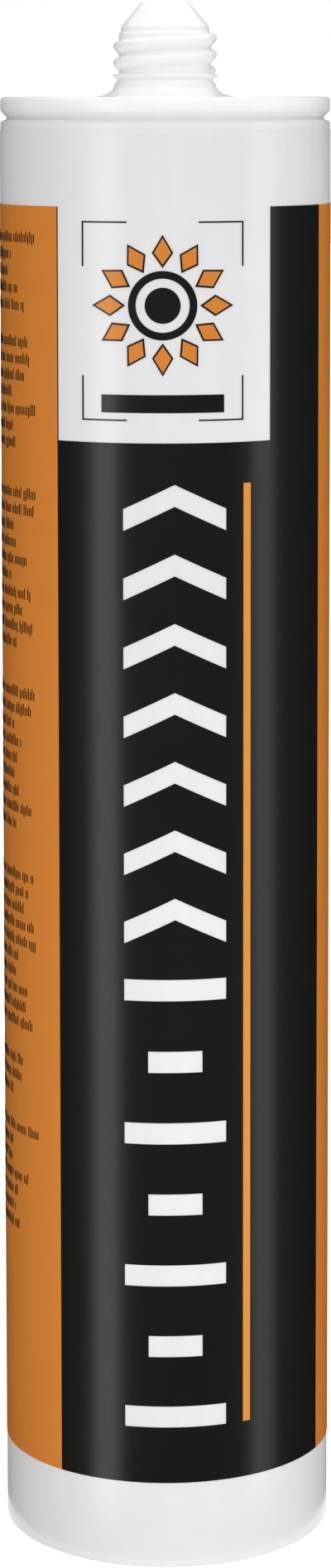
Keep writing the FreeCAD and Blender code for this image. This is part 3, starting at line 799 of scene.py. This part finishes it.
class CARTRIDGE_OT_make_piston(bpy.types.Operator):
    """Make the piston: a cup with two sealing lips, and the ribs under its crown"""

    bl_idname = "cartridge.make_piston"
    bl_label = "Piston"

    def execute(self, context):
        size = settings().piston
        moulding = settings().moulding
        waist = size.lip_radius - size.lip_relief
        inside = waist - size.wall
        bore = moulding.barrel_radius - moulding.barrel_wall
        crown_radius = bore - moulding.slope_width - size.crown_inset
        crown_bottom = size.front - moulding.slope_height
        under_crown = size.front - size.wall
        rib_end = size.rear + size.rib_setback
        boss_end = rib_end - size.boss_proud
        edge = size.rounding
        hollow_edge = 3 * edge
        cup = rounded([
            (0, size.front, 0),
            (crown_radius, size.front, edge),
            (size.lip_radius, crown_bottom, edge),
            (size.lip_radius, crown_bottom - size.lip_width, edge),
            (waist, crown_bottom - size.lip_width - size.lip_relief, edge),
            (waist, size.rear + size.lip_width + size.lip_relief, edge),
            (size.lip_radius, size.rear + size.lip_width, edge),
            (size.lip_radius, size.rear, edge),
            (inside, size.rear, edge),
            (inside, under_crown, hollow_edge),
            (size.boss_radius, under_crown, hollow_edge),
            (size.boss_radius, boss_end, edge),
            (0, boss_end, 0),
        ])
        make_object("piston_cup", lathe(cup), PISTON_BODY, "piston_polyethylene", ["piston"])

        # Outline of one rib, in the order of its corners, seen along its thickness
        bite = size.wall / 2
        corners = np.array([
            (size.boss_radius - bite, rib_end),
            (size.boss_radius + size.rib_shelf, rib_end),
            (inside + bite, under_crown - size.rib_end_height),
            (inside + bite, under_crown),
            (inside, under_crown + bite),
            (size.boss_radius - bite, under_crown + bite),
        ])
        plates = radial_plates(corners, size.rib_thickness, size.rib_count)
        ribs = make_object("piston_ribs", plates, PISTON_BODY, "piston_polyethylene", ["piston"])
        bevel = ribs.modifiers.new("rib edges", "BEVEL")
        bevel.width = edge
        bevel.segments = 2
        return {"FINISHED"}


def radial_plates(corners, thickness, count):
    """Flat plates that stand round the axis, each an outline of radius and height given a thickness.

    Plate k is turned by 2 pi k / count. Its point at radius r, height z and side s is
    (r cos a - s sin a, r sin a + s cos a, z), with s plus or minus half the thickness.
    """
    sides = len(corners)
    turn = np.linspace(0, 2 * np.pi, count, endpoint=False)[:, None, None]
    offset = (thickness / 2 * np.array([-1, 1]))[None, :, None]
    radius = corners[None, None, :, 0]
    x = radius * np.cos(turn) - offset * np.sin(turn)
    y = radius * np.sin(turn) + offset * np.cos(turn)
    z = np.broadcast_to(corners[:, 1], x.shape)
    points = np.stack([x, y, z], axis=-1).reshape(-1, 3)
    index = np.arange(count * 2 * sides).reshape(count, 2, sides)
    following = np.roll(index, -1, axis=2)
    low, high = index[:, 0], index[:, 1]
    walls = np.stack([low, high, following[:, 1], following[:, 0]], axis=-1).reshape(-1, 4)
    return points, [low, high[:, ::-1], walls]


class CARTRIDGE_OT_make_contents(bpy.types.Operator):
    """Make the sealant: a column from the piston's crown up to the head, and the plug of it in the nose
    """

    bl_idname = "cartridge.make_contents"
    bl_label = "Contents"

    def execute(self, context):
        size = settings().moulding
        piston = settings().piston
        top = SEALANT_BOX[1].z
        front = piston.front + SEALANT_GAP
        skin = SEALANT_BOX[1].x
        neck = size.root_radius - size.neck_step - size.tip_wall - SEALANT_GAP
        ceiling = size.shoulder - size.head_thickness - SEALANT_GAP
        edge = size.small_round
        column = rounded([
            (0, ceiling, 0),
            (skin - size.slope_width, ceiling, edge),
            (skin, ceiling - size.slope_height, edge),
            (skin, front - size.slope_height, edge),
            (skin - size.slope_width - piston.crown_inset, front, edge),
            (0, front, 0),
        ])
        paste = make_object("sealant_column", lathe(column), SHELL_BODY, "sealant_paste", ["sealant"])
        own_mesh(paste)
        plug = rounded([(0, top, 0), (neck, top, edge), (neck, ceiling, edge), (0, ceiling, 0)])
        make_object("sealant_plug", lathe(plug), SHELL_BODY, "sealant_paste", ["sealant"])
        return {"FINISHED"}


# Print

def film_radii():
    """Back and face of the ink, which lies on the barrel."""
    barrel = settings().moulding.barrel_radius
    return barrel, barrel + settings().print.ink


def print_levels():
    """Heights of the white panel's foot, and of the foot and the head of the column of marks."""
    size = settings().print
    return FIELD_BOX[1].z - size.panel_height, RULE_BOX[0].z, RULE_BOX[1].z


def field(left, right, bottom, top):
    """A plain field of ink between two bearings and two heights."""
    bearings = steps_between(left, right, step=COLUMN_STEP)
    grid = np.broadcast_to(bearings, (1, 2, len(bearings)))
    heights = np.array([bottom, top])[None, :, None]
    return film(grid, heights, *film_radii())


def flat_film(across, up, ring=False, lift=0.0):
    """A film whose outline is drawn flat and laid on the barrel from the front.

    across and up are grids of places on the flat drawing: across becomes the bearing whose sine
    is across / radius, and up stays the height.
    """
    inner, outer = film_radii()
    return film(np.arcsin(across / outer), up, inner, outer + lift, ring=ring)


class CARTRIDGE_OT_make_fields(bpy.types.Operator):
    """Print the orange field, the orange rule and the black panel with its marks left open"""

    bl_idname = "cartridge.make_fields"
    bl_label = "Printed fields"

    def execute(self, context):
        size = settings().print
        bottom, top = FIELD_BOX[0].z, FIELD_BOX[1].z
        panel_bottom, column_bottom, column_top = print_levels()
        orange_film = field(size.black_right, size.panel_left + 2 * np.pi, bottom, top)
        make_object("orange_print", orange_film, SHELL_BODY, "orange_ink", ["orange_field"])
        rule_film = field(size.rule_left, size.rule_right, column_bottom, column_top)
        make_object("rule_print", rule_film, SHELL_BODY, "pale_orange_ink", ["orange_rule"])

        inner, outer = film_radii()
        half = size.mark_width / 2
        short_half = size.short_width / 2
        marks = np.array([-half, -short_half, 0, short_half, half]) + size.column_centre
        trap = size.panel_left + size.trap_line / outer
        stops = [size.panel_left, trap, *np.arcsin(marks / outer), size.rule_left, size.rule_right,
                 size.panel_right, size.black_right]
        bearings = steps_between(*stops, step=COLUMN_STEP)

        # The lower half of the column is a ladder of long and short bars, the upper half chevrons
        half_column = (column_top - column_bottom - size.column_gap) / 2
        bar_feet = column_bottom + np.linspace(0, half_column - size.mark_stroke, size.bars)
        chevron_feet = np.linspace(column_top - half_column,
                                   column_top - size.mark_stroke - size.chevron_rise, size.chevrons)
        feet = np.concatenate([bar_feet, chevron_feet])
        edges = np.stack([feet, feet + size.mark_stroke], axis=-1).ravel()
        levels = np.concatenate([[bottom], edges, [panel_bottom, top]])
        rise = np.repeat([0.0, size.chevron_rise], [size.bars, size.chevrons]).repeat(2)
        rise = np.concatenate([[0.0], rise, [0.0, 0.0]])

        # Rows bend to the chevrons' slope between the sides of the column, and the row over the
        # last chevron reaches the rule's top beside it
        across = outer * np.sin(bearings) - size.column_centre
        slope = np.clip(1 - np.abs(across) / half, 0, 1)
        heights = levels[:, None] + rise[:, None] * slope
        beside = (bearings > size.rule_left - HAIR) & (bearings < size.rule_right + HAIR)
        heights[-3, beside] = column_top

        middle = (bearings[1:] + bearings[:-1]) / 2
        across = np.abs(outer * np.sin(middle) - size.column_centre)
        kind = np.zeros(len(levels) - 1, int)
        kind[1:-2:2] = np.concatenate([np.arange(size.bars) % 2 + 1, np.ones(size.chevrons, int)])
        long_mark = (kind == 1)[:, None] & (across < half)
        short_mark = (kind == 2)[:, None] & (across < short_half)
        in_column = np.arange(len(kind))[:, None]
        rule = (middle > size.rule_left) & (middle < size.rule_right)
        rule_gap = (in_column >= 1) & (in_column < len(kind) - 2) & rule
        panel = (in_column == len(kind) - 1) & (middle > trap) & (middle < size.panel_right)
        keep = ~(long_mark | short_mark | rule_gap | panel)
        black_film = film(bearings[None, None], heights[None], inner, outer, keep)
        make_object("black_print", black_film, SHELL_BODY, "black_ink", ["black_panel"])
        return {"FINISHED"}


class CARTRIDGE_OT_make_emblem(bpy.types.Operator):
    """Print the emblem: petals with a dark line round each, and a ring with a dot"""

    bl_idname = "cartridge.make_emblem"
    bl_label = "Emblem"

    def execute(self, context):
        size = settings().print
        centre = (EMBLEM_BOX[0] + EMBLEM_BOX[1]) / 2
        tip = (EMBLEM_BOX[1].z - EMBLEM_BOX[0].z) / 2
        root = size.hub_radius + size.petal_gap
        turn = np.linspace(0, 2 * np.pi, size.petals, endpoint=False)[:, None, None]

        def laid(across, out):
            """Turn a petal's own across and outward places into places on the flat drawing."""
            return (centre.x + across * np.cos(turn) + out * np.sin(turn),
                    centre.z - across * np.sin(turn) + out * np.cos(turn))

        # A petal is the patch between its four corners: root, right belly, tip, left belly
        corners = np.array([(0, root), (size.petal_half_width, size.petal_belly),
                            (-size.petal_half_width, size.petal_belly), (0, tip)])
        cells = np.linspace(0, 1, PETAL_CELLS + 1)
        s, t = np.meshgrid(cells, cells)
        weights = np.stack([(1 - s) * (1 - t), s * (1 - t), (1 - s) * t, s * t])[None]
        across = (weights * corners[:, 0][None, :, None, None]).sum(axis=1)
        out = (weights * corners[:, 1][None, :, None, None]).sum(axis=1)
        make_object("petal_print", flat_film(*laid(across, out)), SHELL_BODY, "orange_ink",
                    ["emblem_petals"])

        # The line runs round the corners, from the petal's edge inwards
        loop = corners[[0, 1, 3, 2, 0]]
        side = np.linspace(0, 4, 4 * PETAL_CELLS, endpoint=False)
        edge = np.stack([np.interp(side, np.arange(5), row) for row in loop.T])
        middle = np.array([0, (root + tip) / 2])[:, None]
        shrink = 1 - size.petal_line / size.petal_half_width
        inset = middle + (edge - middle) * shrink
        band = np.stack([inset, edge], axis=-1)
        line = flat_film(*laid(band[0][None], band[1][None]), ring=True, lift=OVERPRINT)
        make_object("petal_line_print", line, SHELL_BODY, "black_ink")

        around = np.linspace(0, 2 * np.pi, HUB_COLUMNS, endpoint=False)[None, :, None]
        radii = np.array([size.hub_radius - size.hub_ring, size.hub_radius])[None, None]
        ring, ring_faces = flat_film(centre.x + radii * np.cos(around),
                                     centre.z + radii * np.sin(around), ring=True)

        # The dot is a square grid pressed into a disc: (u sqrt(1 - v^2/2), v sqrt(1 - u^2/2))
        cells = np.linspace(-1, 1, DOT_CELLS + 1)
        u, v = np.meshgrid(cells, cells)
        dot, dot_faces = flat_film(centre.x + size.hub_dot * (u * np.sqrt(1 - v * v / 2))[None],
                                   centre.z + size.hub_dot * (v * np.sqrt(1 - u * u / 2))[None])
        hub = (np.vstack([ring, dot]), ring_faces + [dot_faces[0] + len(ring)])
        make_object("hub_print", hub, SHELL_BODY, "black_ink", ["emblem_hub"])
        return {"FINISHED"}


class CARTRIDGE_OT_make_panel_lines(bpy.types.Operator):
    """Print the plain bar under the emblem and the bracket in each corner of the white panel"""

    bl_idname = "cartridge.make_panel_lines"
    bl_label = "Panel lines"

    def execute(self, context):
        size = settings().print
        bar = field(size.name_left, size.name_right, NAME_BAR_BOX[0].z, NAME_BAR_BOX[1].z)
        make_object("name_bar_print", bar, SHELL_BODY, "black_ink", ["name_bar"])

        # One grid holds the frame's four sides; ink stays in its border, near the corners
        inner, outer = film_radii()
        left = size.bracket_left
        right = EMBLEM_BOX[0].x + EMBLEM_BOX[1].x - left
        top = FIELD_BOX[1].z - BRACKET_DROP
        bottom = NAME_BAR_BOX[0].z - BRACKET_FOOT
        line, arm = size.bracket_line, size.bracket_arm
        across = steps_between(left, left + line, left + arm, right - arm, right - line, right,
                               step=outer * COLUMN_STEP)
        up = np.array([bottom, bottom + line, bottom + arm, top - arm, top - line, top])
        middle = (across[1:] + across[:-1]) / 2
        level = ((up[1:] + up[:-1]) / 2)[:, None]
        border_column = (middle < left + line) | (middle > right - line)
        border_row = (level < bottom + line) | (level > top - line)
        near_side = (middle < left + arm) | (middle > right - arm)
        near_end = (level < bottom + arm) | (level > top - arm)
        keep = (border_column & near_end) | (border_row & near_side)
        bearings = np.arcsin(across / outer)[None, None]
        brackets = film(bearings, up[None, :, None], inner, outer, keep)
        make_object("bracket_print", brackets, SHELL_BODY, "black_ink")
        return {"FINISHED"}


class CARTRIDGE_OT_make_small_print(bpy.types.Operator):
    """Print the rows of plain ticks on the orange field, where such packs have their small print"""

    bl_idname = "cartridge.make_small_print"
    bl_label = "Small print"

    def execute(self, context):
        size = settings().print
        inner, outer = film_radii()
        random = np.random.default_rng(SMALL_PRINT_SEED)
        rows = np.concatenate([np.arange(first, last - HAIR, -size.text_pitch)
                               for first, last in PARAGRAPHS])
        ticks = np.arange(0, size.text_width, size.tick_pitch)
        row, place_in_row = np.meshgrid(rows, ticks, indexing="ij")

        # Each word has a blank after it, and each row ends at its own length
        words = random.integers(SHORTEST_WORD, LONGEST_WORD + 1, size=(len(rows), len(ticks))) + 1
        ends = np.cumsum(words, axis=1)
        number = np.arange(len(ticks))
        blank = (ends[:, None, :] == number[None, :, None]).any(axis=2)
        ragged = random.uniform(0, RAGGED_EDGE, size=(len(rows), 1))
        inked = ~blank & (place_in_row > ragged)
        tall = random.random(row.shape) < TALL_SHARE
        low = random.random(row.shape) < LOW_SHARE
        foot = row - np.where(low & ~tall, LOW_DROP, 0.0) * size.text_height
        head = row + np.where(tall, TALL_HEIGHT, 1.0) * size.text_height
        right = size.text_right - place_in_row / outer
        left = right - size.tick_width / outer
        bearings = np.stack([left[inked], right[inked]], axis=-1)[:, None, :]
        heights = np.stack([foot[inked], head[inked]], axis=-1)[:, :, None]
        marks = film(bearings, heights, inner, outer + OVERPRINT)
        make_object("small_print", marks, SHELL_BODY, "black_ink")
        return {"FINISHED"}


# Stage

# Gaps between stage and cartridge, the floor's hole and edge, and between which distances from the
# cartridge it turns white
CARD_GAP = 2 * MM
FLOOR_GAP = 0.5 * MM
FLOOR_HOLE = 19 * MM
FLOOR_RADIUS = 5.0
FLOOR_NEAR = 0.12
FLOOR_FAR = 0.7
FLOOR_ROUGHNESS = 0.5

# Soft lamps: bearing from the front, distance, height, the height that it faces, width and height
# of the lamp itself. Each one's level is the setting of the same name.
MID_HEIGHT = 0.12
LAMPS = {
    "front_box": (0.0, 1.1, 0.8, MID_HEIGHT, 1.2, 0.8),
    "right_box": (math.radians(100), 1.2, 0.5, MID_HEIGHT, 1.0, 1.0),
    "back_box": (math.radians(185), 1.2, 0.8, MID_HEIGHT, 1.2, 0.8),
    "top_box": (0.0, 0.01, 1.4, 0.0, 1.0, 1.0),
    "foot_fill": (math.radians(12), 0.22, 0.05, 0.01, 0.16, 0.08),
}


def area_lamp(name, turn, distance, height, aim, width, tall, level):
    """A rectangular lamp, turned from the front, that faces the axis at the height of its aim.

    Its power is level pi width tall, so that a level of 1 looks as bright as white paper.
    """
    light = bpy.data.lights.new(name, "AREA")
    light.shape = "RECTANGLE"
    light.size = width
    light.size_y = tall
    light.energy = level * math.pi * width * tall
    lamp = bpy.data.objects.new(name, light)
    lamp.location = (distance * math.sin(turn), -distance * math.cos(turn), height)
    away = lamp.location - Vector((0, 0, aim))
    lamp.rotation_euler = away.to_track_quat("Z", "Y").to_euler()
    lamp.visible_camera = False
    bpy.context.scene.collection.objects.link(lamp)
    return lamp


def make_strip(name, turn, level):
    """A narrow upright lamp close to the barrel that only draws a highlight on it."""
    stage = settings().stage
    tall = settings().moulding.shoulder
    distance = stage.card_radius - CARD_GAP
    strip = area_lamp(name, turn, distance, tall / 2, tall / 2, stage.strip_width, tall, level)
    strip.data.color = stage.strip_tint[:3]
    strip.visible_diffuse = False
    strip.visible_transmission = False


def open_band(name, rows, columns, material):
    """An object of the stage that runs round the axis: a band through rows of radius and height.

    A point is (r sin b, -r cos b, h) for every bearing b, with r and h those of its row.
    """
    rows = np.array(rows)
    around = np.linspace(0, 2 * np.pi, columns, endpoint=False)
    points = np.stack([rows[:, :1] * np.sin(around), -rows[:, :1] * np.cos(around),
                       np.repeat(rows[:, 1:], columns, axis=1)], axis=-1)
    index = np.arange(len(rows) * columns).reshape(len(rows), -1)
    following = np.roll(index, -1, axis=1)
    faces = np.stack([index[:-1], index[1:], following[1:], following[:-1]], axis=-1).reshape(-1, 4)
    mesh = bpy.data.meshes.new(name)
    mesh.from_pydata(points.reshape(-1, 3).tolist(), [], faces.tolist())
    mesh.materials.append(material)
    band = bpy.data.objects.new(name, mesh)
    bpy.context.scene.collection.objects.link(band)
    return band


def make_card():
    """A dark card that is seen in reflections alone and keeps the black deep.

    It runs from beside the foot out over the floor and up past the tip.
    """
    stage = settings().stage
    radius = stage.card_radius
    foot = settings().moulding.barrel_radius + CARD_GAP
    top = settings().moulding.tip + stage.card_rise
    material, tree = new_material("dark_card")
    matt = add_node(tree, "ShaderNodeBsdfDiffuse", {"Color": settings().finish.card})
    add_node(tree, "ShaderNodeOutputMaterial", Surface=matt.outputs["BSDF"])
    rows = [(foot, FLOOR_GAP), (radius, FLOOR_GAP), (radius, top)]
    card = open_band("dark_card", rows, CARD_COLUMNS, material)
    card.visible_camera = False
    card.visible_diffuse = False
    card.visible_transmission = False
    card.visible_shadow = False


def seen_directly(tree):
    """A socket that is 1 for rays of the camera, of glossy reflection and of transmission, else 0."""
    path = add_node(tree, "ShaderNodeLightPath")
    glossy = add_node(tree, "ShaderNodeMath", {"operation": "MAXIMUM"},
                      in_0=path.outputs["Is Camera Ray"], in_1=path.outputs["Is Glossy Ray"])
    both = add_node(tree, "ShaderNodeMath", {"operation": "MAXIMUM"},
                    in_0=glossy.outputs["Value"], in_1=path.outputs["Is Transmission Ray"])
    return both.outputs["Value"]


def make_world(level):
    """Soft grey surroundings that look white behind the object."""
    world = bpy.data.worlds.new("studio")
    bpy.context.scene.world = world
    tree = empty_tree(world)
    soft = add_node(tree, "ShaderNodeBackground", {"Color": (1, 1, 1, 1), "Strength": level})
    white = add_node(tree, "ShaderNodeBackground", {"Color": (1, 1, 1, 1), "Strength": 1.0})
    mix = add_node(tree, "ShaderNodeMixShader", in_0=seen_directly(tree),
                   in_1=soft.outputs["Background"], in_2=white.outputs["Background"])
    add_node(tree, "ShaderNodeOutputWorld", Surface=mix.outputs["Shader"])


def make_floor(tone, glow):
    """Pale matt table. What it adds for direct views alone brings its colour to white but for shadow.

    The addition grows from the glow close to the cartridge to 1 further off, where lamps fade. The
    table is clear from beneath and has a hole under the open rear end, so that the piston shows.
    """
    material, tree = new_material("studio_floor")
    here = add_node(tree, "ShaderNodeTexCoord").outputs["Object"]
    distance = add_node(tree, "ShaderNodeVectorMath", {"operation": "LENGTH"}, in_0=here)
    spread = add_node(tree, "ShaderNodeMapRange",
                      {"interpolation_type": "SMOOTHSTEP", "From Min": FLOOR_NEAR,
                       "From Max": FLOOR_FAR, "To Min": glow, "To Max": 1.0},
                      Value=distance.outputs["Value"])
    paint = add_node(tree, "ShaderNodeBsdfDiffuse", {"Color": tone, "Roughness": FLOOR_ROUGHNESS})
    amount = add_node(tree, "ShaderNodeMath", {"operation": "MULTIPLY"},
                      in_0=seen_directly(tree), in_1=spread.outputs["Result"])
    extra = add_node(tree, "ShaderNodeEmission", Strength=amount.outputs["Value"])
    both = add_node(tree, "ShaderNodeAddShader", in_0=paint.outputs["BSDF"],
                    in_1=extra.outputs["Emission"])
    clear = add_node(tree, "ShaderNodeBsdfTransparent")
    beneath = add_node(tree, "ShaderNodeNewGeometry").outputs["Backfacing"]
    one_sided = add_node(tree, "ShaderNodeMixShader", in_0=beneath,
                         in_1=both.outputs["Shader"], in_2=clear.outputs["BSDF"])
    add_node(tree, "ShaderNodeOutputMaterial", Surface=one_sided.outputs["Shader"])
    floor = open_band("floor", [(FLOOR_HOLE, 0), (FLOOR_RADIUS, 0)], FLOOR_COLUMNS, material)


class CARTRIDGE_OT_make_stage(bpy.types.Operator):
    """Set up the floor, the soft light and the camera"""

    bl_idname = "cartridge.make_stage"
    bl_label = "Stage"

    def execute(self, context):
        stage = settings().stage
        make_floor(settings().finish.floor, stage.floor_glow)
        make_world(stage.ambient)
        make_card()
        make_strip("left_strip", stage.left_bearing, stage.left_strip)
        make_strip("right_strip", stage.right_bearing, stage.right_strip)
        for name, places in LAMPS.items():
            lamp = area_lamp(name, *places, getattr(stage, name))
            lamp.visible_glossy = name != "foot_fill"

        camera = bpy.data.cameras.new("camera")
        camera.lens = stage.focal_length
        camera.shift_x = stage.shift_x
        camera.shift_y = stage.shift_y
        eye = bpy.data.objects.new("camera", camera)
        tilt = Matrix.Rotation(math.pi / 2 - stage.camera_tilt, 4, "X")
        roll = Matrix.Rotation(stage.camera_roll, 4, "Z")
        height = settings().moulding.shoulder
        eye.matrix_world = Matrix.Translation((0, -stage.camera_distance, height)) @ tilt @ roll
        context.scene.collection.objects.link(eye)
        context.scene.camera = eye
        context.scene.view_settings.view_transform = "Standard"
        return {"FINISHED"}


class CARTRIDGE_PT_panel(bpy.types.Panel):
    """The cartridge's pieces and sizes in the sidebar"""

    bl_label = "Cartridge"
    bl_idname = "CARTRIDGE_PT_panel"
    bl_space_type = "VIEW_3D"
    bl_region_type = "UI"
    bl_category = "Cartridge"

    def draw(self, context):
        layout = self.layout
        for operator in OPERATORS:
            layout.operator(operator.bl_idname)
        everything = context.scene.cartridge_settings
        for group_name in CartridgeSettings.__annotations__:
            box = layout.box()
            box.label(text=group_name.capitalize())
            group = getattr(everything, group_name)
            for name in group.__annotations__:
                box.prop(group, name)


GROUPS = [
    MouldingSizes,
    ThreadSizes,
    PistonSizes,
    PrintSizes,
    FinishColours,
    StageSettings,
    CartridgeSettings,
]
OPERATORS = [
    CARTRIDGE_OT_make_stage,
    CARTRIDGE_OT_make_moulding,
    CARTRIDGE_OT_make_piston,
    CARTRIDGE_OT_make_contents,
    CARTRIDGE_OT_make_fields,
    CARTRIDGE_OT_make_emblem,
    CARTRIDGE_OT_make_panel_lines,
    CARTRIDGE_OT_make_small_print,
]


def register():
    for group in GROUPS + OPERATORS + [CARTRIDGE_PT_panel]:
        bpy.utils.register_class(group)
    bpy.types.Scene.cartridge_settings = PointerProperty(type=CartridgeSettings)


def unregister():
    del bpy.types.Scene.cartridge_settings
    for group in reversed(GROUPS + OPERATORS + [CARTRIDGE_PT_panel]):
        bpy.utils.unregister_class(group)


def main():
    """Register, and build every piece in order."""
    register()
    for operator in OPERATORS:
        group, name = operator.bl_idname.split(".")
        getattr(getattr(bpy.ops, group), name)()


if __name__ == "__main__":
    main()
